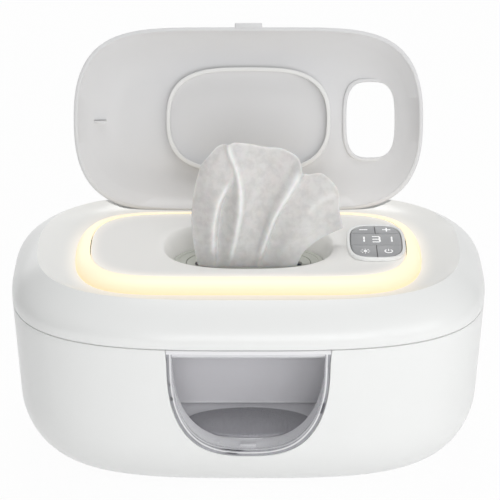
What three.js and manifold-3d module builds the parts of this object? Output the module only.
// A baby wipe warmer: a white casing with a clear window, a hinged cover with a glowing ring, and a flip lid.
// Millimetres, +X to the user's right, +Y to the back, +Z up.
// The origin is the middle of the base plate's underside.
import * as THREE from "three";
import { mergeVertices } from "three/addons/utils/BufferGeometryUtils.js";
import Module from "manifold-3d";

const wasm = await Module();
wasm.setup();

// Driving dimensions, one object for each piece or group of like pieces
const clearance = 0.3;
const overrun = 5;
const body = { halfWidth: 125, halfDepth: 79, endPower: 3.18, sidePower: 3.09, wall: 2.4, taper: 4.3 };
const bottom = { inset: 32.6, round: 40.3, roundPower: 1.87, floor: 3.6 };
const parting = { height: 94.5, gap: 0.5, ledgeDepth: 4.7, ledgeWall: 1.4 };
const shoulder = {
  startRise: 4.5, rise: 20.5, halfWidth: 111.8, halfDepth: 62.7, endPower: 3.68, sidePower: 2.59, risePower: 1.74,
};
const basin = { wall: 2.8, power: 2 };
const ring = {
  halfWidth: 91.5, halfDepth: 46.5, endPower: 6.4, sidePower: 2.54, rise: 14.9, wall: 2.2, foot: 2.4,
  bulgeShare: 0.8,
};
const ringLedge = { width: 2.6, thickness: 1.8, skirt: 2.4 };
const platform = {
  halfWidth: 83.5, halfDepth: 37.3, endPower: 6.2, sidePower: 2.8, rise: 20.9, wall: 2, skirt: 5.4, rim: 1,
};
const funnel = {
  halfWidth: 45.5, halfDepth: 28, power: 2.6, bottomHalfWidth: 40.2, bottomHalfDepth: 21.2, depth: 14.9,
};
const funnelLip = { width: 4, thickness: 1.4, dish: 0.4 };
const slotFrame = { width: 6.6, thickness: 2, ledgeWidth: 2, ledgeThickness: 0.8 };
const slot = { halfLength: 28.5, halfWidth: 4.5, thickness: 0.9 };
const lid = { halfWidth: 96.2, halfDepth: 50.9, endPower: 5.35, sidePower: 2.5, wall: 2.2, edge: 1.2 };
const lidDome = { crown: 11.5, inset: 26, power: 2, thickness: 1.8 };
const lidHinge = { y: 51.1, rise: 14.5, rimRise: 1.6, openDegrees: 112.7, restGap: 1, barrel: 2.4, pin: 1.1 };
const lidKnuckle = { inner: 8, outer: 16, end: 24, gap: 0.4, pocketWall: 2, pocketDepth: 5.5 };
const lidRib = {
  halfWidth: 45.1, halfDepth: 28.7, endPower: 3.4, sidePower: 2.6, wall: 1.5, height: 2.4, sealClearance: 0.5,
};
const lidHole = { halfWidth: 13.4, halfDepth: 20.9, power: 3.2, lipWidth: 2.1, lipHeight: 1.2 };
const lidTab = { width: 15, reach: 2.4, thickness: 1.6 };
const lidNub = { x: -82, width: 7, reach: 1.9 };
const pad = { x: 67.7, y: 0.2, halfWidth: 13.5, halfDepth: 18.4, power: 3.4, rise: 1.6, capThickness: 2.4 };
const padRows = { buttonDepth: 9.4, displayDepth: 13.6, gap: 0.35 };
const bezel = { width: 1.7, rise: 1.9, chamfer: 0.45 };
const button = { travel: 0.5, stem: 2 };
const controlBoard = {
  width: 24.6, depth: 46, thickness: 1.6, drop: 7.4, switchSize: 5, switchHeight: 3,
  plungerRadius: 1.5, plungerHeight: 1,
};
const boardPost = { radius: 1.5, x: 6, y: 21 };
const ledBoard = {
  outerInset: 1, width: 9.5, thickness: 1.4, ledLength: 3, ledWidth: 2, ledHeight: 0.8, count: 14,
};
const tub = {
  endGap: 13, sideGap: 12.5, wall: 1.8, draft: 2.5, floorHeight: 34, corner: 5, flangeThickness: 2,
};
const window_ = { halfWidth: 39.6, topHalfWidth: 41.2, roundHeight: 37, bottomHeight: 30.4, roundPower: 2.45 };
const pane = { rimWidth: 1.9, rimDepth: 7.8, topBar: 2 };
const windowFrame = { wall: 1.4, backWall: 2.6, depth: 7 };
const ovalPad = { halfWidth: 33.5, halfDepth: 15.6, frontGap: 2.9, thickness: 1.6, power: 2 };
const pack = { endGap: 26, frontGap: 36.5, backGap: 16.5, headroom: 10.35, round: 7, seal: 2.4, sealThickness: 0.8 };
const plate = { halfWidth: 84, halfDepth: 38, endPower: 3.6, sidePower: 2.8, thickness: 1.8, margin: 13 };
const foot = { endInset: 28, sideInset: 15, radius: 8, height: 2, seat: 0.6, chamfer: 0.8 };
const screw = { endInset: 54, sideInset: 6, headRadius: 2.8, headHeight: 1.2, shankRadius: 1.2, length: 8 };
const boss = { radius: 3.6, height: 7 };
const heater = {
  halfWidth: 72, halfDepth: 38, thickness: 1.6, filmThickness: 0.6, filmInset: 4, insulation: 4, power: 3,
};
const sensor = { x: 34, y: 8, radius: 2.6, length: 4.6, pocket: 7.4 };
const fuse = { x: -34, y: 8, radius: 1.7, length: 12, pocketLength: 16, pocketWidth: 6 };
const powerBoard = { x: -26, y: 0, width: 62, depth: 38, thickness: 1.6, height: 12 };
const capacitor = { x: -46, y: -8, radius: 4, height: 9, secondY: 4 };
const coil = { x: -22, y: -6, radius: 6, height: 6 };
const regulator = { x: -4, y: 6, width: 10, depth: 9, height: 2.4 };
const pillar = { x: 64, radius: 3, postRadius: 2.2, postInset: 4 };
const inlet = {
  x: -60, z: 22, radius: 5.4, bore: 3.2, boreDepth: 9, neck: 9.6, bodyWidth: 11, bodyDepth: 11, recess: 0.6,
  pinRadius: 0.9, pinLength: 3,
};
const lead = { radius: 1.1, corners: 3, stepsPerPoint: 3, clearanceToBoard: 1.6 };
const coverHinge = {
  outset: 4, rise: 1, x: 42, barrel: 3.6, pin: 1.5, knuckle: 8, gap: 0.4, webThickness: 3.4,
};
const liner = { thickness: 1.6, rise: 0.6, holeHalfWidth: 37.4, holeHalfDepth: 18.4, collarWall: 1.6 };
const gasket = { inset: 6.6, width: 3.2 };
const wipe = {
  left: -27, right: 26, height: 72, halfSpread: 40, spreadPower: 1.15, thickness: 0.9,
  fold: 7, neckFold: 3.5, bow: 4, tail: 0.8,
};
const wipeShares = { neck: 0.6, neckHeight: 0.03, bowRight: -0.9 };
const leadShares = { turn: 0.7, rise: 0.9, outward: 0.7, cross: 0.6 };

// Counts of points and sides
const around = 40;
const aroundHidden = 28;
const aroundPad = 36;
const sides = { small: 10, round: 16, wide: 24 };
const steps = { windowCurve: 12, packCurve: 4, wipeColumns: 24, wipeRows: 9, halvings: 44 };

const colours = {
  white: [0xf4f4f2, 0.38],
  panel: [0xe6e6e3, 0.42],
  inside: [0xdededc, 0.45],
  glow: [0xfff2c8, 0.5],
  grey: [0x9c9da0, 0.4],
  dark: [0x4d4d52, 0.6],
  clear: [0xd4d5da, 0.1],
  softGrey: [0xa9aaa6, 0.6],
  board: [0x2f6b46, 0.6],
  metal: [0xc6c8ca, 0.3],
  cloth: [0xf2f2f0, 0.9],
};
const clearOpacity = 0.35;

// Heights on the cover, all above the parting line
const shoulderStart = parting.height + shoulder.startRise;
const shoulderTop = parting.height + shoulder.rise;
const ringHeight = parting.height + ring.rise;
const platformHeight = parting.height + platform.rise;
const lidHingeZ = parting.height + lidHinge.rise;
const padHeight = platformHeight + pad.rise;

// Outlines and shells
// A superellipse outline: half sizes, the powers of its ends and sides, and its middle.
function outlineOf(halfWidth, halfDepth, endPower, sidePower = endPower, x = 0, y = 0) {
  return { halfWidth, halfDepth, endPower, sidePower, x, y };
}
const named = (o) => outlineOf(o.halfWidth, o.halfDepth, o.endPower ?? o.power, o.sidePower ?? o.power);
const inset = (o, by) => ({ ...o, halfWidth: o.halfWidth - by, halfDepth: o.halfDepth - by });
const mix = (from, to, share) => from + (to - from) * share;
function blend(from, to, share) {
  const made = {};
  for (const key of Object.keys(from)) made[key] = mix(from[key], to[key], share);
  return made;
}

// The distance from an outline's middle to its edge in one direction, by halving an interval.
function reach(o, angle) {
  const along = Math.abs(Math.cos(angle)) / o.halfWidth;
  const across = Math.abs(Math.sin(angle)) / o.halfDepth;
  let low = 0;
  let high = o.halfWidth + o.halfDepth;
  for (let step = 0; step < steps.halvings; step++) {
    const middle = (low + high) / 2;
    const inside = (middle * along) ** o.endPower + (middle * across) ** o.sidePower < 1;
    if (inside) low = middle;
    else high = middle;
  }
  return low;
}
const depthAt = (o, x) => o.halfDepth * (1 - Math.abs(x / o.halfWidth) ** o.endPower) ** (1 / o.sidePower);

// One closed ring of points on an outline at a height; point k lies in the same direction on every ring.
function ringAt(o, z, count = around) {
  const points = [];
  for (let k = 0; k < count; k++) {
    const turn = (2 * Math.PI * k) / count;
    const angle = Math.atan2(body.halfDepth * Math.sin(turn), body.halfWidth * Math.cos(turn));
    const r = reach(o, angle);
    points.push(new THREE.Vector3(o.x + r * Math.cos(angle), o.y + r * Math.sin(angle), z));
  }
  return points;
}

// A surface through rings of equal count, closed by joining its last ring to its first or by a cap on each end.
function loft(rings, joined = false) {
  const count = rings[0].length;
  const points = rings.flat();
  const faces = [];
  const bands = joined ? rings.length : rings.length - 1;
  for (let band = 0; band < bands; band++) {
    const here = band * count;
    const next = ((band + 1) % rings.length) * count;
    for (let k = 0; k < count; k++) {
      const after = (k + 1) % count;
      faces.push([here + k, here + after, next + after], [here + k, next + after, next + k]);
    }
  }
  if (!joined) {
    for (const [first, flip] of [[0, true], [(rings.length - 1) * count, false]]) {
      const middle = new THREE.Vector3();
      for (let k = 0; k < count; k++) middle.addScaledVector(points[first + k], 1 / count);
      points.push(middle);
      for (let k = 0; k < count; k++) {
        const after = (k + 1) % count;
        const face = [first + k, first + after, points.length - 1];
        faces.push(flip ? face.reverse() : face);
      }
    }
  }
  return shell(points, faces);
}

// A closed mesh of points and triangles, turned to face outwards.
function shell(points, faces) {
  let volume = 0;
  for (const [a, b, c] of faces) volume += points[a].dot(points[b].clone().cross(points[c]));
  const turned = volume < 0 ? faces.map(([a, b, c]) => [a, c, b]) : faces;
  const geometry = new THREE.BufferGeometry();
  geometry.setAttribute("position", new THREE.Float32BufferAttribute(points.flatMap((p) => p.toArray()), 3));
  geometry.setIndex(turned.flat());
  return solid(geometry);
}

// Solids for joining and cutting
function solid(geometry) {
  const bare = geometry.clone();
  bare.deleteAttribute("normal");
  bare.deleteAttribute("uv");
  const merged = mergeVertices(bare);
  const vertProperties = merged.attributes.position.array;
  const triVerts = new Uint32Array(merged.index.array);
  return new wasm.Manifold(new wasm.Mesh({ numProp: 3, vertProperties, triVerts }));
}
function geometryOf(made) {
  const mesh = made.getMesh();
  const points = [];
  for (let i = 0; i < mesh.numVert; i++) {
    const start = i * mesh.numProp;
    points.push(...mesh.vertProperties.subarray(start, start + 3));
  }
  const geometry = new THREE.BufferGeometry();
  geometry.setAttribute("position", new THREE.Float32BufferAttribute(points, 3));
  geometry.setIndex(Array.from(mesh.triVerts));
  return geometry;
}
const joinAll = (solids) => solids.reduce((made, next) => made.add(next));

function block(x0, x1, y0, y1, z0, z1) {
  const geometry = new THREE.BoxGeometry(x1 - x0, y1 - y0, z1 - z0);
  return solid(geometry.translate((x0 + x1) / 2, (y0 + y1) / 2, (z0 + z1) / 2));
}
// A round bar along an axis letter, from one end to the other, at the given place across it.
function bar(axis, radius, from, to, a, b, count = sides.round, endRadius = radius) {
  const geometry = new THREE.CylinderGeometry(endRadius, radius, to - from, count);
  geometry.translate(0, (from + to) / 2, 0);
  if (axis === "x") geometry.rotateZ(-Math.PI / 2).translate(0, a, b);
  if (axis === "y") geometry.translate(a, 0, b);
  if (axis === "z") geometry.rotateX(Math.PI / 2).translate(a, b, 0);
  return solid(geometry);
}
const prism = (o, z0, z1, count = around) => loft([ringAt(o, z0, count), ringAt(o, z1, count)]);
function band(outer, inner, z0, z1, count = around) {
  const corners = [[outer, z0], [outer, z1], [inner, z1], [inner, z0]];
  return loft(corners.map(([o, z]) => ringAt(o, z, count)), true);
}
// A lead: a round tube through points.
function tube(points, radius = lead.radius) {
  const path = new THREE.CatmullRomCurve3(points.map((p) => new THREE.Vector3(...p)));
  const section = new THREE.Shape();
  section.absarc(0, 0, radius, 0, 2 * Math.PI);
  const along = points.length * lead.stepsPerPoint;
  const settings = { extrudePath: path, steps: along, curveSegments: lead.corners };
  return solid(new THREE.ExtrudeGeometry(section, settings));
}

// Outlines that several pieces share
const bodyOutline = named(body);
const shoulderOutline = named(shoulder);
const ringOutline = named(ring);
const platformOutline = named(platform);
const lidOutline = named(lid);
const rimTop = parting.height - parting.gap / 2;
const coverBottom = parting.height + parting.gap / 2;
function casingInset(z) {
  const depth = Math.max(0, (bottom.round - z) / bottom.round);
  const rounded = 1 - (1 - depth ** bottom.roundPower) ** (1 / bottom.roundPower);
  return bottom.inset * rounded + body.taper * (1 - z / parting.height);
}
const casingAt = (z, extra = 0) => inset(bodyOutline, casingInset(z) + extra);
const basinHeight = (share) => ringHeight + (shoulderTop - ringHeight) * (1 - share) ** basin.power;
const coverHingeY = body.halfDepth + coverHinge.outset;
const coverHingeZ = parting.height + coverHinge.rise;
const hingeHoleRadius = coverHinge.pin + clearance;

const warmer = new THREE.Group();
const base = new THREE.Group();
const cover = new THREE.Group();
const flipLid = new THREE.Group();
flipLid.position.set(0, lidHinge.y, lidHingeZ);
flipLid.rotation.x = THREE.MathUtils.degToRad(-lidHinge.openDegrees);
cover.add(flipLid);
warmer.add(base, cover);

// Puts a named solid in its group with a colour.
function add(group, name, made, colour, opacity = 1) {
  const [color, roughness] = colours[colour];
  const metalness = colour === "metal" ? 1 : 0;
  const transparent = opacity < 1;
  const material = new THREE.MeshStandardMaterial({ color, roughness, metalness, opacity, transparent });
  const mesh = new THREE.Mesh(geometryOf(made), material);
  mesh.name = name;
  group.add(mesh);
}

// Window outline: straight sides that lean in a little, and a rounded bottom.
function windowPoints(by, top) {
  const middle = window_.bottomHeight + window_.roundHeight;
  const lean = (window_.topHalfWidth - window_.halfWidth) / (rimTop - middle);
  const half = [];
  for (let k = 0; k <= steps.windowCurve; k++) {
    const turn = ((Math.PI / 2) * k) / steps.windowCurve;
    const across = Math.sin(turn) ** (2 / window_.roundPower);
    const down = Math.cos(turn) ** (2 / window_.roundPower);
    half.push(new THREE.Vector2(across * (window_.halfWidth - by), middle - down * (window_.roundHeight - by)));
  }
  half.push(new THREE.Vector2(window_.halfWidth - by + lean * (top - middle), top));
  return [...half, ...half.slice(1).reverse().map((p) => new THREE.Vector2(-p.x, p.y))];
}
// The window's outline as a prism from one depth to another, with its top edge at a height.
function windowPrism(by, front, back, top, backBy = by) {
  const faces = [[by, front], [backBy, back]];
  return loft(faces.map(([amount, y]) => windowPoints(amount, top).map((p) => new THREE.Vector3(p.x, y, p.y))));
}

// Lower casing: one shell with a rounded bottom, an opening for the base plate and a ledge for the tub
const casingShares = [0, 0.02, 0.055, 0.11, 0.19, 0.3, 0.46, 1];
const casingInnerShares = [0.94, 0.45, 0.26, 0.14, 0.07];
function lowerShell() {
  const outer = casingShares.map((share) => ringAt(casingAt(share * rimTop), share * rimTop));
  const ledge = rimTop - parting.ledgeDepth;
  const inner = casingInnerShares.map((share) => {
    const z = share * ledge;
    return ringAt(casingAt(Math.max(0, z - body.wall), body.wall), z);
  });
  const recess = inset(named(plate), -clearance);
  const opening = inset(named(plate), plate.margin);
  return loft([
    ...outer,
    ringAt(casingAt(rimTop, parting.ledgeWall), rimTop),
    ringAt(casingAt(ledge, parting.ledgeWall), ledge),
    ringAt(casingAt(ledge, body.wall), ledge),
    ...inner,
    ringAt(casingAt(0, body.wall), bottom.floor),
    ringAt(opening, bottom.floor),
    ringAt(opening, plate.thickness + clearance),
    ringAt(recess, plate.thickness + clearance),
    ringAt(recess, 0),
  ], true);
}
const casingShell = lowerShell();
const atCorner = (x, y, o) => [x * (plate.halfWidth - o.endInset), y * (plate.halfDepth - o.sideInset)];
const screwPlaces = [[1, 1], [-1, 1], [-1, -1], [1, -1]].map(([x, y]) => atCorner(x, y, screw));
const footPlaces = [["front_left", -1, -1], ["front_right", 1, -1], ["rear_left", -1, 1], ["rear_right", 1, 1]]
  .map(([name, x, y]) => [name, ...atCorner(x, y, foot)]);

// Cover hinge knuckles: two on the base round one on the cover, at each side of the back.
const hingeSides = [["left", -1], ["right", 1]];
const knuckleReach = coverHinge.knuckle + coverHinge.knuckle / 2 + coverHinge.gap;
function knuckle(x0, x1, webBottom, webTop) {
  const farEnd = Math.max(Math.abs(x0), Math.abs(x1));
  const webFront = depthAt(casingAt(parting.height), farEnd) - parting.ledgeWall / 2;
  return bar("x", coverHinge.barrel, x0, x1, coverHingeY, coverHingeZ)
    .add(block(x0, x1, webFront, coverHingeY, webBottom, webTop));
}
const hingeBore = (radius) => hingeSides.map(([, side]) => {
  const middle = side * coverHinge.x;
  const half = knuckleReach + overrun;
  return bar("x", radius, middle - half, middle + half, coverHingeY, coverHingeZ);
});

const paneBack = -body.halfDepth + pane.rimDepth;
function lowerCasing() {
  const cutBack = paneBack + overrun;
  let made = casingShell.subtract(windowPrism(0, -body.halfDepth - overrun, cutBack, rimTop + overrun));
  const bossBottom = plate.thickness + clearance;
  const holeRadius = screw.shankRadius + clearance;
  for (const [x, y] of screwPlaces) {
    made = made.add(bar("z", boss.radius, bossBottom, bottom.floor + boss.height, x, y, sides.small));
    made = made.subtract(bar("z", holeRadius, -overrun, screw.length + clearance, x, y, sides.small));
  }
  for (const [, side] of hingeSides) {
    for (const end of [-1, 1]) {
      const middle = side * coverHinge.x + end * (coverHinge.knuckle + coverHinge.gap);
      const half = coverHinge.knuckle / 2;
      const top = rimTop - clearance;
      made = made.add(knuckle(middle - half, middle + half, top - 2 * coverHinge.webThickness, top));
    }
  }
  for (const bore of hingeBore(hingeHoleRadius)) made = made.subtract(bore);
  const back = depthAt(casingAt(inlet.z), inlet.x);
  return made.subtract(bar("y", inlet.radius + clearance, back - inlet.neck, back + overrun, inlet.x, inlet.z));
}
add(base, "lower_casing", lowerCasing(), "white");

for (const [name, side] of hingeSides) {
  const middle = side * coverHinge.x;
  const half = knuckleReach - clearance;
  const pin = bar("x", coverHinge.pin, middle - half, middle + half, coverHingeY, coverHingeZ);
  add(base, `cover_hinge_pin_${name}`, pin, "metal");
}

// Window: the clear pane fills the cut-out in the casing, and its rim meets the grey frame behind it
function windowPane() {
  const front = -body.halfDepth - overrun;
  const skin = casingShell.intersect(windowPrism(clearance, front, paneBack + overrun, rimTop));
  const ledge = rimTop - parting.ledgeDepth;
  const rim = windowPrism(clearance, -body.halfDepth + body.wall, paneBack, ledge)
    .subtract(windowPrism(pane.rimWidth, front, 0, ledge - pane.topBar))
    .subtract(outsideWall());
  return skin.add(rim);
}
// All that lies outside the middle of the casing's wall near the window.
function outsideWall() {
  const middle = body.wall / 2;
  const inside = loft(casingShares.map((share) => ringAt(casingAt(share * rimTop, middle), share * rimTop)));
  return block(-body.halfWidth, body.halfWidth, -body.halfDepth - overrun, 0, 0, rimTop).subtract(inside);
}
add(base, "window_pane", windowPane(), "clear", clearOpacity);

const sleeveFront = paneBack + clearance;
const sleeveBack = sleeveFront + windowFrame.depth - clearance;
const sleeveTop = rimTop - parting.ledgeDepth - tub.flangeThickness;
function frameSleeve() {
  const by = 2 * clearance;
  const outer = windowPrism(by, sleeveFront, sleeveBack, sleeveTop);
  const [front, back, top] = [sleeveFront - clearance, sleeveBack + clearance, sleeveTop - windowFrame.wall];
  return outer.subtract(windowPrism(by + windowFrame.wall, front, back, top, by + windowFrame.backWall));
}
add(base, "window_frame", frameSleeve(), "inside");

// Inner tub: a cup with a flange that rests on the casing's ledge
const tubHalfWidth = body.halfWidth - tub.endGap;
const tubHalfDepth = body.halfDepth - tub.sideGap;
function innerTub() {
  const top = outlineOf(tubHalfWidth, tubHalfDepth, body.endPower, body.sidePower);
  const low = inset(top, tub.draft);
  const flangeTop = rimTop - parting.ledgeDepth + clearance + tub.flangeThickness;
  const flange = casingAt(rimTop, parting.ledgeWall + clearance);
  const under = flangeTop - tub.flangeThickness;
  const floorBottom = tub.floorHeight - tub.wall;
  const made = loft([
    ringAt(inset(low, tub.corner - tub.wall), floorBottom),
    ringAt(inset(low, -tub.wall), floorBottom + tub.corner),
    ringAt(inset(top, -tub.wall), under),
    ringAt(flange, under),
    ringAt(flange, flangeTop),
    ringAt(top, flangeTop),
    ringAt(low, tub.floorHeight + tub.corner / 4),
    ringAt(inset(low, tub.corner / 4), tub.floorHeight),
  ]);
  return made.subtract(windowPrism(clearance, -body.halfDepth, sleeveBack + tub.wall, sleeveTop + clearance));
}
add(base, "inner_tub", innerTub(), "inside");

const ovalY = -tubHalfDepth + ovalPad.frontGap + ovalPad.halfDepth;
const ovalOutline = outlineOf(ovalPad.halfWidth, ovalPad.halfDepth, ovalPad.power, ovalPad.power, 0, ovalY);
const padBottom = tub.floorHeight + clearance / 2;
add(base, "moistening_pad", prism(ovalOutline, padBottom, padBottom + ovalPad.thickness, aroundHidden), "dark");

// Wipe pack: a soft block with rounded long edges and a sealed fin at each end
function wipePack() {
  const front = -tubHalfDepth + pack.frontGap;
  const back = tubHalfDepth - pack.backGap;
  const halfWidth = tubHalfWidth - pack.endGap;
  const middle = (front + back) / 2;
  const halfDepth = (back - front) / 2;
  const low = tub.floorHeight + clearance / 2;
  const high = parting.height - pack.headroom;
  const section = new THREE.Shape();
  section.moveTo(-halfDepth, low);
  section.lineTo(halfDepth, low);
  section.lineTo(halfDepth, high - pack.round);
  section.quadraticCurveTo(halfDepth, high, halfDepth - pack.round, high);
  section.lineTo(-halfDepth + pack.round, high);
  section.quadraticCurveTo(-halfDepth, high, -halfDepth, high - pack.round);
  const settings = { depth: 2 * halfWidth, bevelEnabled: false, curveSegments: steps.packCurve };
  const geometry = new THREE.ExtrudeGeometry(section, settings);
  geometry.translate(0, 0, -halfWidth).rotateX(Math.PI / 2).rotateZ(Math.PI / 2);
  const stack = solid(geometry.translate(0, middle, 0));
  const finLow = (low + high - pack.sealThickness) / 2;
  const finHigh = finLow + pack.sealThickness;
  const finEnd = halfWidth + pack.seal;
  return stack.add(block(-finEnd, finEnd, front + pack.round, back - pack.round, finLow, finHigh));
}
add(base, "wipe_pack", wipePack(), "panel");

// Base plate with its feet, screws, posts and pillars
const plateTop = plate.thickness;
const boardEdges = { x0: powerBoard.x - powerBoard.width / 2, x1: powerBoard.x + powerBoard.width / 2 };
const postPlaces = [];
for (const x of [boardEdges.x0 + pillar.postInset, boardEdges.x1 - pillar.postInset]) {
  for (const side of [-1, 1]) postPlaces.push([x, side * (powerBoard.depth / 2 - pillar.postInset)]);
}
const heaterOutline = outlineOf(heater.halfWidth, heater.halfDepth, heater.power);
const heaterTop = tub.floorHeight - tub.wall - clearance;
const filmTop = heaterTop - heater.thickness - clearance / 2;
const insulationTop = filmTop - heater.filmThickness - clearance / 2;
const insulationBottom = insulationTop - heater.insulation;

function basePlate() {
  let made = prism(named(plate), 0, plateTop);
  const shankHole = screw.shankRadius + clearance;
  const headHole = screw.headRadius + clearance;
  for (const [x, y] of screwPlaces) {
    made = made.subtract(bar("z", shankHole, -overrun, plateTop + overrun, x, y, sides.small));
    made = made.subtract(bar("z", headHole, -overrun, screw.headHeight, x, y, sides.small));
  }
  for (const [, x, y] of footPlaces) {
    made = made.subtract(bar("z", foot.radius + clearance, -overrun, foot.seat, x, y));
  }
  const low = plateTop / 2;
  const postTop = powerBoard.height - clearance;
  const pillarTop = insulationBottom - clearance;
  for (const [x, y] of postPlaces) {
    made = made.add(bar("z", pillar.postRadius, low, postTop, x, y, sides.small));
  }
  for (const side of [-1, 1]) {
    made = made.add(bar("z", pillar.radius, low, pillarTop, side * pillar.x, 0, sides.small));
  }
  return made;
}
add(base, "base_plate", basePlate(), "white");

for (const [name, x, y] of footPlaces) {
  const edge = -foot.height + foot.chamfer;
  const made = bar("z", foot.radius, edge, foot.seat - clearance / 2, x, y)
    .add(bar("z", foot.radius - foot.chamfer, -foot.height, edge, x, y, sides.round, foot.radius));
  add(base, `foot_${name}`, made, "dark");
}
screwPlaces.forEach(([x, y], k) => {
  const head = screw.headHeight - clearance / 2;
  const made = bar("z", screw.headRadius, 0, head, x, y)
    .add(bar("z", screw.shankRadius, head / 2, screw.length, x, y, sides.small));
  add(base, `base_screw_${k + 1}`, made, "metal");
});

// Heating parts under the tub's floor
const heaterBottom = heaterTop - heater.thickness;
add(base, "heating_plate", prism(heaterOutline, heaterBottom, heaterTop, aroundHidden), "metal");
const filmOutline = inset(heaterOutline, heater.filmInset);
add(base, "heater_film", prism(filmOutline, filmTop - heater.filmThickness, filmTop, aroundHidden), "dark");
function insulationMat() {
  const made = prism(heaterOutline, insulationBottom, insulationTop, aroundHidden);
  const half = sensor.pocket / 2;
  const sensorPocket = block(sensor.x - half, sensor.x + half, sensor.y - half, sensor.y + half, 0, filmTop);
  const reachX = fuse.pocketLength / 2;
  const reachY = fuse.pocketWidth / 2;
  return made.subtract(sensorPocket)
    .subtract(block(fuse.x - reachX, fuse.x + reachX, fuse.y - reachY, fuse.y + reachY, 0, filmTop));
}
add(base, "insulation_mat", insulationMat(), "cloth");
const sensorTop = insulationTop - clearance / 2;
const sensorBottom = sensorTop - sensor.length;
add(base, "temperature_sensor", bar("z", sensor.radius, sensorBottom, sensorTop, sensor.x, sensor.y), "metal");
const [fuseLeft, fuseRight] = [fuse.x - fuse.length / 2, fuse.x + fuse.length / 2];
const fuseHeight = sensorTop - fuse.radius;
add(base, "thermal_fuse", bar("x", fuse.radius, fuseLeft, fuseRight, fuse.y, fuseHeight, sides.small), "metal");

// Power board and the inlet socket
function powerBoardSolid() {
  const low = powerBoard.height;
  const high = low + powerBoard.thickness;
  const halfDepth = powerBoard.depth / 2;
  const raised = high - powerBoard.thickness / 2;
  return joinAll([
    block(boardEdges.x0, boardEdges.x1, powerBoard.y - halfDepth, powerBoard.y + halfDepth, low, high),
    bar("z", capacitor.radius, raised, high + capacitor.height, capacitor.x, capacitor.y),
    bar("z", capacitor.radius, raised, high + capacitor.height, capacitor.x, capacitor.secondY),
    bar("z", coil.radius, raised, high + coil.height, coil.x, coil.y),
    block(regulator.x - regulator.width / 2, regulator.x + regulator.width / 2,
      regulator.y - regulator.depth / 2, regulator.y + regulator.depth / 2, raised, high + regulator.height),
  ]);
}
add(base, "power_board", powerBoardSolid(), "board");

const inletFace = depthAt(casingAt(inlet.z), inlet.x) - inlet.recess;
const inletBack = inletFace - inlet.neck - inlet.bodyDepth;
function inletSocket() {
  const half = inlet.bodyWidth / 2;
  const bodyFront = inletBack + inlet.bodyDepth;
  const boreEnd = inletFace - inlet.boreDepth;
  const pinEnd = boreEnd + inlet.pinLength;
  return bar("y", inlet.radius, bodyFront - inlet.recess, inletFace, inlet.x, inlet.z, sides.wide)
    .add(block(inlet.x - half, inlet.x + half, inletBack, bodyFront, inlet.z - half, inlet.z + half))
    .subtract(bar("y", inlet.bore, boreEnd, inletFace + overrun, inlet.x, inlet.z, sides.wide))
    .add(bar("y", inlet.pinRadius, boreEnd - inlet.recess, pinEnd, inlet.x, inlet.z, sides.small));
}
add(base, "inlet_socket", inletSocket(), "dark");

// Upper casing: shoulder, basin, the seat of the light ring, the open lid's rest and the pocket of its hinge
const seat = inset(ringOutline, -clearance);
function atShoulder(share, extra, drop) {
  const o = inset(blend(bodyOutline, shoulderOutline, share ** shoulder.risePower), extra);
  return ringAt(o, shoulderStart + (shoulderTop - shoulderStart) * share - drop);
}
function atBasin(share, drop) {
  return ringAt(blend(shoulderOutline, seat, share), basinHeight(share) - drop);
}
const shoulderShares = [0, 0.22, 0.45, 0.65, 0.84, 1];
const basinShares = [0.08, 0.3, 0.55, 0.8, 1];
const innerShares = { basin: [0.7, 0.25], shoulder: [0.84, 0.5] };
const upperOuter = [
  ringAt(bodyOutline, coverBottom),
  ...shoulderShares.map((share) => atShoulder(share, 0, 0)),
  ...basinShares.map((share) => atBasin(share, 0)),
];
function upperShell() {
  const ledge = inset(ringOutline, ringLedge.width);
  const ledgeTop = ringHeight - ring.foot - clearance;
  const ledgeBottom = ledgeTop - ringLedge.thickness;
  return loft([
    ...upperOuter,
    ringAt(seat, ledgeTop),
    ringAt(ledge, ledgeTop),
    ringAt(ledge, ledgeBottom),
    ringAt(inset(seat, -ringLedge.skirt), ledgeBottom),
    ...innerShares.basin.map((share) => atBasin(share, basin.wall)),
    atShoulder(innerShares.shoulder[0], body.wall, body.wall),
    atShoulder(innerShares.shoulder[1], body.wall, body.wall / 4),
    ringAt(inset(bodyOutline, body.wall), shoulderStart),
    ringAt(inset(bodyOutline, body.wall), coverBottom),
  ], true);
}

// Lid shell, modelled closed about its hinge axis
const lidRim = lidHinge.rimRise;
const domeHeight = (share) => mix(lid.edge, lidDome.crown, 1 - (1 - share) ** lidDome.power);
const domeShares = [0, 0.12, 0.3, 0.55, 1];
const domeInnerShares = [0.28, 0.55, 1];
function lidOuterRings(extra) {
  return domeShares.map((share) => {
    const o = { ...inset(lidOutline, share * lidDome.inset - extra), y: -lidHinge.y };
    return ringAt(o, lidRim + domeHeight(share) + extra);
  });
}
function lidOuterSolid(extra) {
  const low = ringAt({ ...inset(lidOutline, -extra), y: -lidHinge.y }, lidRim - extra);
  return loft([low, ...lidOuterRings(extra)]);
}
const overPlatform = platformHeight + lidRib.sealClearance - lidHingeZ;
const ceiling = lidRim + lidDome.crown - lidDome.thickness;

// The space that the open lid takes, for the shallow rest that it has in the basin.
function openLidSpace(extra) {
  const geometry = geometryOf(lidOuterSolid(extra));
  geometry.rotateX(THREE.MathUtils.degToRad(-lidHinge.openDegrees)).translate(0, lidHinge.y, lidHingeZ);
  return solid(geometry);
}

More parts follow.
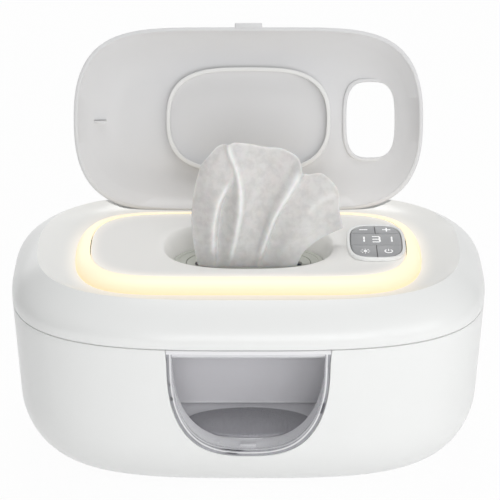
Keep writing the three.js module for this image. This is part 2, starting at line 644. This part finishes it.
const earSpans = [
  [-lidKnuckle.end, -lidKnuckle.outer - lidKnuckle.gap],
  [-lidKnuckle.inner + lidKnuckle.gap, lidKnuckle.inner - lidKnuckle.gap],
  [lidKnuckle.outer + lidKnuckle.gap, lidKnuckle.end],
];
const pocketFront = lidHinge.y - lidHinge.barrel - lidKnuckle.gap;
const pocketBack = lidHinge.y + lidKnuckle.pocketDepth;
function upperCasing() {
  const floor = lidHingeZ - lidHinge.barrel - lidKnuckle.gap;
  const half = lidKnuckle.end + lidKnuckle.gap;
  const wall = lidKnuckle.pocketWall;
  const lower = floor - wall;
  const seatTop = ringHeight - ring.foot - clearance;
  const rest = openLidSpace(lidHinge.restGap + basin.wall).intersect(loft(upperOuter));
  let made = upperShell().add(rest);
  const depthShare = (shoulder.halfDepth - lidHinge.y) / (shoulder.halfDepth - ring.halfDepth);
  const trayTop = basinHeight(depthShare) - wall / 4;
  const tray = block(-half - wall, half + wall, pocketFront - wall / 2, pocketBack, lower, trayTop);
  const ringSpace = prism(inset(ringOutline, -clearance), seatTop, ringHeight + overrun);
  made = made.add(tray.subtract(ringSpace));
  made = made.subtract(block(-half, half, pocketFront, pocketBack - wall, floor, shoulderTop + overrun));
  made = made.subtract(openLidSpace(lidHinge.restGap));
  const [earFront, earBack] = [lidHinge.y - lidHinge.barrel, lidHinge.y + lidHinge.barrel];
  for (const [x0, x1] of earSpans) {
    made = made.add(bar("x", lidHinge.barrel, x0, x1, lidHinge.y, lidHingeZ));
    made = made.add(block(x0, x1, earFront, earBack, lower, lidHingeZ));
  }
  const holeRadius = lidHinge.pin + clearance;
  made = made.subtract(bar("x", holeRadius, -lidKnuckle.end, lidKnuckle.end, lidHinge.y, lidHingeZ));
  for (const [, side] of hingeSides) {
    const middle = side * coverHinge.x;
    const [x0, x1] = [middle - coverHinge.knuckle / 2, middle + coverHinge.knuckle / 2];
    const low = coverBottom + clearance;
    made = made.add(knuckle(x0, x1, low, low + coverHinge.webThickness));
  }
  for (const bore of hingeBore(hingeHoleRadius)) made = made.subtract(bore);
  return made;
}
add(cover, "upper_casing", upperCasing(), "white");
const pinEnd = lidKnuckle.end - clearance;
add(cover, "lid_hinge_pin", bar("x", lidHinge.pin, -pinEnd, pinEnd, lidHinge.y, lidHingeZ), "metal");

// Light ring: a translucent band that curves up from the basin to the platform
const ringShares = [0, 0.3, 0.6, 1];
function lightRing() {
  const inner = inset(platformOutline, -clearance);
  const turns = ringShares.map((share) => (share * Math.PI) / 2);
  const rise = platformHeight - ringHeight;
  const arc = (by) => turns.map((turn) => {
    const o = blend(inset(ringOutline, by), inner, 1 - Math.cos(turn));
    const up = mix(1 - Math.cos(turn), Math.sin(turn), ring.bulgeShare);
    return ringAt(o, ringHeight - by / 2 + (rise - by / 2) * up);
  });
  return loft([
    ringAt(ringOutline, ringHeight - ring.foot),
    ...arc(0),
    ...arc(ring.wall).slice(1, -1).reverse(),
    ringAt(inset(ringOutline, ring.wall), ringHeight - ring.foot),
  ], true);
}
add(cover, "light_ring", lightRing(), "glow");

// Top panel: the platform, its funnel and the seat of the slot frame
const padOutline = outlineOf(pad.halfWidth, pad.halfDepth, pad.power, pad.power, pad.x, pad.y);
const funnelTop = outlineOf(funnel.halfWidth, funnel.halfDepth, funnel.power);
const funnelBottom = outlineOf(funnel.bottomHalfWidth, funnel.bottomHalfDepth, funnel.power);
const funnelLow = platformHeight - funnel.depth;
const lipTop = funnelLow + funnelLip.thickness;
const boardTop = platformHeight - controlBoard.drop + controlBoard.thickness;
const boardPlaces = [];
for (const x of [-1, 1]) {
  for (const y of [-1, 1]) {
    boardPlaces.push([pad.x + x * boardPost.x, pad.y + y * boardPost.y]);
  }
}
// The wall of the funnel from its top to its bottom: how far in, and how far down.
const funnelShares = [[0.16, 0.05], [0.4, 0.24], [0.7, 0.6], [1, 1]];
const funnelOuterShares = [0.5, 0.4];
function topPanel() {
  const edge = platformOutline;
  const skirtBottom = platformHeight - platform.skirt;
  const dished = platformHeight - funnelLip.dish;
  const wallAt = (share, by, z) => ringAt(inset(blend(funnelTop, funnelBottom, share), by), z);
  const drop = dished - lipTop;
  let made = loft([
    ringAt(edge, skirtBottom),
    ringAt(edge, platformHeight - platform.rim / 2),
    ringAt(inset(edge, platform.rim / 2), platformHeight),
    ringAt(blend(edge, funnelTop, 1 / 2), platformHeight - funnelLip.dish / 4),
    ringAt(funnelTop, dished),
    ...funnelShares.map(([across, down]) => wallAt(across, 0, dished - drop * down)),
    wallAt(1, funnelLip.width, lipTop),
    wallAt(1, funnelLip.width, funnelLow),
    wallAt(1, -platform.wall, funnelLow),
    wallAt(funnelOuterShares[0], -platform.wall, dished - drop * funnelOuterShares[1]),
    wallAt(0, -platform.wall, dished - platform.wall),
    ringAt(inset(edge, platform.wall), platformHeight - platform.wall - platform.rim / 2),
    ringAt(inset(edge, platform.wall), skirtBottom),
  ], true);
  const postTop = platformHeight - platform.wall / 2;
  for (const [x, y] of boardPlaces) {
    made = made.add(bar("z", boardPost.radius, boardTop + clearance, postTop, x, y, sides.small));
  }
  return made.subtract(prism(inset(padOutline, -clearance), boardTop, platformHeight + overrun, aroundPad));
}
add(cover, "top_panel", topPanel(), "panel");

// Slot frame and its soft membrane
const frameBottom = lipTop + clearance / 2;
const frameOutline = inset(funnelBottom, clearance);
const frameOpening = inset(frameOutline, slotFrame.width);
const membraneBottom = frameBottom + slotFrame.ledgeThickness + clearance / 2;
function slotFrameSolid() {
  const top = frameBottom + slotFrame.thickness;
  const ledge = inset(frameOpening, slotFrame.ledgeWidth);
  const step = frameBottom + slotFrame.ledgeThickness;
  const rings = [
    [frameOutline, frameBottom], [frameOutline, top], [frameOpening, top],
    [frameOpening, step], [ledge, step], [ledge, frameBottom],
  ];
  return loft(rings.map(([o, z]) => ringAt(o, z)), true);
}
add(cover, "slot_frame", slotFrameSolid(), "softGrey");
const slotOutline = outlineOf(slot.halfLength, slot.halfWidth, body.endPower);
const membraneOutline = inset(frameOpening, clearance);
const membraneTop = membraneBottom + slot.thickness;
add(cover, "slot_membrane", band(membraneOutline, slotOutline, membraneBottom, membraneTop), "softGrey");

// Control pad: a raised bezel, a display lens and four buttons over the control board
function padBezel() {
  const outer = inset(padOutline, -clearance - bezel.width);
  const inner = inset(padOutline, -clearance);
  const low = platformHeight + clearance / 3;
  const top = platformHeight + bezel.rise;
  const corners = [
    [outer, low], [inset(outer, bezel.chamfer), top - bezel.chamfer], [inset(outer, 2 * bezel.chamfer), top],
    [inner, top], [inner, low],
  ];
  return loft(corners.map(([o, z]) => ringAt(o, z, aroundPad)), true);
}
add(cover, "pad_bezel", padBezel(), "white");

const capBottom = padHeight - pad.capThickness;
const padTop = pad.y + pad.halfDepth;
const displayTop = padTop - padRows.buttonDepth;
const displayBottom = displayTop - padRows.displayDepth;
const padSolid = prism(padOutline, capBottom, padHeight, aroundPad);
function padCell(x0, x1, y0, y1) {
  return padSolid.intersect(block(x0, x1, y0, y1, capBottom - overrun, padHeight + overrun));
}
const padLeft = pad.x - pad.halfWidth - overrun;
const padRight = pad.x + pad.halfWidth + overrun;
const displayGap = padRows.gap / 2;
function displayLens() {
  const lens = padCell(padLeft, padRight, displayBottom + displayGap, displayTop - displayGap);
  const footHalf = padRows.displayDepth / 2 - pad.capThickness;
  const middle = (displayTop + displayBottom) / 2;
  const [x0, x1] = [pad.x - footHalf, pad.x + footHalf];
  const [y0, y1] = [middle - footHalf, middle + footHalf];
  return lens.add(block(x0, x1, y0, y1, boardTop + clearance, capBottom + displayGap));
}
add(cover, "display_lens", displayLens(), "grey");

const switchTop = boardTop + controlBoard.switchHeight;
const buttonSpecs = [
  ["minus", -1, displayTop, padTop], ["plus", 1, displayTop, padTop],
  ["light", -1, pad.y - pad.halfDepth, displayBottom], ["power", 1, pad.y - pad.halfDepth, displayBottom],
].map(([name, side, y0, y1]) => {
  const x = pad.x + (side * pad.halfWidth) / 2;
  return { name, side, y0, y1, x, y: (y0 + y1) / 2 };
});
for (const { name, side, y0, y1, x, y } of buttonSpecs) {
  const top = y1 === padTop ? y1 + overrun : y1 - displayGap;
  const low = y1 === padTop ? y0 + displayGap : y0 - overrun;
  const [x0, x1] = side < 0 ? [padLeft, pad.x - displayGap] : [pad.x + displayGap, padRight];
  const cap = padCell(x0, x1, low, top);
  const stemBottom = switchTop + button.travel + clearance / 3;
  const stem = bar("z", button.stem, stemBottom, capBottom + displayGap, x, y, sides.small);
  add(cover, `button_${name}`, cap.add(stem), "grey");
}
function controlBoardSolid() {
  const halfWidth = controlBoard.width / 2;
  const halfDepth = controlBoard.depth / 2;
  const low = boardTop - controlBoard.thickness;
  const [x0, x1] = [pad.x - halfWidth, pad.x + halfWidth];
  const made = [block(x0, x1, pad.y - halfDepth, pad.y + halfDepth, low, boardTop)];
  const half = controlBoard.switchSize / 2;
  const bodyTop = switchTop - controlBoard.plungerHeight;
  for (const { x, y } of buttonSpecs) {
    made.push(block(x - half, x + half, y - half, y + half, boardTop - clearance, bodyTop));
    made.push(bar("z", controlBoard.plungerRadius, bodyTop - clearance, switchTop, x, y, sides.small));
  }
  return joinAll(made);
}
add(cover, "control_board", controlBoardSolid(), "board");

// LED board: a ring under the light ring with a row of lamps
function ledBoardSolid() {
  const top = ringHeight - ring.foot - clearance - ringLedge.thickness - clearance;
  const outer = inset(ringOutline, ledBoard.outerInset);
  const inner = inset(outer, ledBoard.width);
  let made = band(outer, inner, top - ledBoard.thickness, top, aroundHidden);
  const lane = inset(outer, ledBoard.width / 2 + ledBoard.outerInset);
  for (let k = 0; k < ledBoard.count; k++) {
    const turn = (2 * Math.PI * (k + 1 / 2)) / ledBoard.count;
    const angle = Math.atan2(body.halfDepth * Math.sin(turn), body.halfWidth * Math.cos(turn));
    const r = reach(lane, angle);
    const [x, y] = [r * Math.cos(angle), r * Math.sin(angle)];
    const [dx, dy] = [ledBoard.ledLength / 2, ledBoard.ledWidth / 2];
    const lampBottom = top - ledBoard.thickness / 2;
    made = made.add(block(x - dx, x + dx, y - dy, y + dy, lampBottom, top + ledBoard.ledHeight));
  }
  return made;
}
add(cover, "led_board", ledBoardSolid(), "board");

// Cover liner: the ceiling above the wipes, with its collar under the funnel and its gasket
const linerBottom = coverBottom + liner.rise;
const linerTop = linerBottom + liner.thickness;
const linerHole = outlineOf(liner.holeHalfWidth, liner.holeHalfDepth, funnel.power);
function coverLiner() {
  const collarTop = funnelLow - clearance;
  const collar = inset(linerHole, -liner.collarWall);
  const edge = inset(bodyOutline, body.wall + 2 * clearance);
  const rings = [
    [edge, linerBottom], [edge, linerTop], [collar, linerTop],
    [collar, collarTop], [linerHole, collarTop], [linerHole, linerBottom],
  ];
  return loft(rings.map(([o, z]) => ringAt(o, z, aroundHidden)), true);
}
add(cover, "cover_liner", coverLiner(), "inside");
const flangeTopHeight = rimTop - parting.ledgeDepth + clearance + tub.flangeThickness;
const gasketOuter = inset(bodyOutline, gasket.inset);
const gasketInner = inset(gasketOuter, gasket.width);
const [gasketLow, gasketHigh] = [flangeTopHeight + clearance, linerBottom - clearance];
add(cover, "cover_gasket", band(gasketOuter, gasketInner, gasketLow, gasketHigh, aroundHidden), "softGrey");

// Flip lid
function lidShell() {
  const about = (o) => ({ ...o, y: o.y - lidHinge.y });
  const innerRing = (share) => {
    const o = inset(lidOutline, share * lidDome.inset + lidDome.thickness / 4);
    return ringAt(about(o), lidRim + domeHeight(share) - lidDome.thickness);
  };
  let made = loft([
    ...lidOuterRings(0).reverse(),
    ringAt(about(lidOutline), lidRim),
    ringAt(about(inset(lidOutline, lid.wall)), lidRim),
    ...domeInnerShares.map(innerRing),
  ]);
  const outside = lidOuterSolid(0);
  const intoDome = ceiling + lid.wall / 2;
  const hole = { ...named(lidHole), x: pad.x, y: -lidHinge.y };
  const lip = prism(inset(hole, -lidHole.lipWidth), ceiling - lidHole.lipHeight, intoDome, aroundPad);
  made = made.add(lip.intersect(outside));
  made = made.subtract(prism(hole, lidRim - overrun, ceiling + overrun, aroundPad));
  const rib = { ...named(lidRib), y: -lidHinge.y };
  made = made.add(band(rib, inset(rib, lidRib.wall), ceiling - lidRib.height, intoDome));
  const tabY = -lidHinge.y - lid.halfDepth;
  const tabHalf = lidTab.width / 2;
  const tabTop = lidRim + lidTab.thickness;
  made = made.add(block(-tabHalf, tabHalf, tabY - lidTab.reach, tabY + lid.wall / 2, lidRim, tabTop));
  const [nubLeft, nubRight] = [lidNub.x - lidNub.width, lidNub.x + lidNub.width];
  const nubHalf = block(nubLeft, nubRight, -lidHinge.y, -lidHinge.y + lidNub.reach, lidRim, ceiling);
  const nub = bar("z", lidNub.width / 2, overPlatform, ceiling, lidNub.x, -lidHinge.y);
  made = made.add(nub.intersect(nubHalf).intersect(outside));
  const notch = lidHinge.barrel + 2 * lidKnuckle.gap;
  for (const [x0, x1] of earSpans) {
    made = made.subtract(bar("x", notch, x0 - lidKnuckle.gap, x1 + lidKnuckle.gap, 0, 0, sides.wide));
  }
  for (const side of [-1, 1]) {
    const [x0, x1] = [side * lidKnuckle.inner, side * lidKnuckle.outer].sort((a, b) => a - b);
    made = made.add(bar("x", lidHinge.barrel, x0, x1, 0, 0));
    made = made.add(block(x0, x1, lid.halfDepth - lidHinge.y - lid.wall, 0, 0, lidRim + lid.edge / 2));
  }
  return made.subtract(bar("x", lidHinge.pin + clearance, -lidKnuckle.end, lidKnuckle.end, 0, 0));
}
add(flipLid, "lid_shell", lidShell(), "white");
const sealOutline = { ...inset(named(lidRib), -clearance), y: -lidHinge.y };
const sealInner = inset(sealOutline, lidRib.wall + 2 * clearance);
const sealTop = ceiling - lidRib.height - clearance;
add(flipLid, "lid_seal", band(sealOutline, sealInner, overPlatform, sealTop), "panel");

// Wipe: a folded sheet that fans out of the slot
const topXShares = [-0.63, -0.5, -0.37, -0.2, 0.02, 0.24, 0.46, 0.66, 0.74, 0.98, 1.18, 1.2, 1.26];
const topZShares = [0.79, 0.9, 0.98, 1, 0.98, 0.95, 0.94, 0.87, 0.74, 0.745, 0.62, 0.46, 0.3];
const foldShares = [0.1, 0.5, -0.7, 0.5, -1, 0.1, 0.35, 0.2, -1, -0.1, 0.25, -0.3, -0.1];
// A smooth curve through evenly spaced values.
function tableAt(shares, u) {
  const place = Math.min(Math.max(u, 0), 1) * (shares.length - 1);
  const k = Math.min(Math.floor(place), shares.length - 2);
  const t = place - k;
  const at = (i) => shares[Math.min(Math.max(i, 0), shares.length - 1)];
  const [a, b, c, d] = [at(k - 1), at(k), at(k + 1), at(k + 2)];
  return b + (t / 2) * (c - a + t * (2 * a - 5 * b + 4 * c - d + t * (3 * (b - c) + d - a)));
}
function wipePoint(u, v, offset) {
  const neck = mix(wipeShares.neck, 1, Math.min(1, v / wipeShares.neckHeight));
  const baseX = mix(wipe.left, wipe.right, u) * neck;
  const bow = Math.sin(v * Math.PI) * (u < 1 / 2 ? -1 : wipeShares.bowRight) * (2 * u - 1) ** 2;
  const x = mix(baseX, tableAt(topXShares, u) * wipe.halfSpread, v ** wipe.spreadPower) + bow * wipe.bow;
  const y = tableAt(foldShares, u) * mix(wipe.neckFold, wipe.fold, Math.sqrt(v)) + offset;
  const z = membraneTop - wipe.tail + v * tableAt(topZShares, u) * wipe.height;
  return new THREE.Vector3(x, y, z);
}
function wipeSheet() {
  const rows = [0, wipeShares.neckHeight];
  for (let row = 1; row <= steps.wipeRows; row++) rows.push(row / steps.wipeRows);
  const columns = [];
  for (let column = 0; column <= steps.wipeColumns; column++) columns.push(column / steps.wipeColumns);
  const side = (offset) => rows.map((v) => columns.map((u) => wipePoint(u, v, offset)));
  const front = side(-wipe.thickness / 2);
  const back = side(wipe.thickness / 2);
  const rings = front.map((line, row) => [...line, ...back[row].slice().reverse()]);
  return foldedLoft(rings);
}
// As loft, but each end is closed by a strip between its front and back edges.
function foldedLoft(rings) {
  const count = rings[0].length;
  const points = rings.flat();
  const faces = [];
  for (let row = 0; row + 1 < rings.length; row++) {
    for (let k = 0; k < count; k++) {
      const after = (k + 1) % count;
      const [a, b] = [row * count + k, row * count + after];
      faces.push([a, b, b + count], [a, b + count, a + count]);
    }
  }
  for (const [first, flip] of [[0, true], [(rings.length - 1) * count, false]]) {
    for (let k = 0; k + 1 < count / 2; k++) {
      const [a, b, c, d] = [first + k, first + k + 1, first + count - 2 - k, first + count - 1 - k];
      for (const face of [[a, b, c], [a, c, d]]) faces.push(flip ? face.reverse() : face);
    }
  }
  return shell(points, faces);
}
add(cover, "wipe", wipeSheet(), "cloth");

// Leads: from the inlet to the board, to the heater, to the hinge, and from the control board to the hinge
const boardRise = powerBoard.height + powerBoard.thickness + lead.clearanceToBoard;
const leadGap = lead.radius + clearance;
const casingBack = depthAt(casingAt(parting.height), coverHinge.x) - body.wall;
// The middle of the space between the tub and the casing at the back, at the hinge lead's place.
const laneAt = (z) => (tubHalfDepth + depthAt(casingAt(z, body.wall), coverHinge.x)) / 2;
const [laneLow, laneHigh] = [tub.floorHeight - leadGap, rimTop - parting.ledgeDepth - leadGap];
const riseHeight = insulationBottom - leadGap;
const laneHeights = [laneLow, (laneLow + laneHigh) / 2, laneHigh];
add(base, "inlet_lead", tube([
  [inlet.x, inletBack - leadGap, inlet.z],
  [inlet.x, (inletBack + powerBoard.depth / 2) / 2, (inlet.z + boardRise) / 2],
  [boardEdges.x0 + 2 * pillar.postInset, powerBoard.depth / 2 - pillar.postInset, boardRise],
]), "dark");
add(base, "heater_lead", tube([
  [regulator.x + regulator.width, regulator.y, boardRise],
  [sensor.x / 2, sensor.y, boardRise + leadGap],
  [sensor.x, sensor.y, sensorTop - sensor.length - leadGap],
]), "dark");
add(base, "hinge_lead", tube([
  [boardEdges.x1 - pillar.postInset, powerBoard.depth / 2 - pillar.postInset, boardRise],
  [coverHinge.x * leadShares.turn, heater.halfDepth, boardRise],
  [coverHinge.x * leadShares.rise, mix(heater.halfDepth, laneAt(riseHeight), leadShares.outward), riseHeight],
  ...laneHeights.map((z) => [coverHinge.x, laneAt(z), z]),
]), "dark");
add(cover, "cover_lead", tube([
  [pad.x - controlBoard.width / 4, pad.y + controlBoard.depth / 4, boardTop - controlBoard.thickness - leadGap],
  [pad.x - controlBoard.width / 2, pad.y + controlBoard.depth / 2 + 2 * leadGap, funnelLow],
  [mix(pad.x, coverHinge.x, leadShares.cross), lidHinge.y, linerTop + 2 * leadGap],
  [coverHinge.x, casingBack - leadGap * 2, linerTop + leadGap],
]), "dark");

export default warmer;
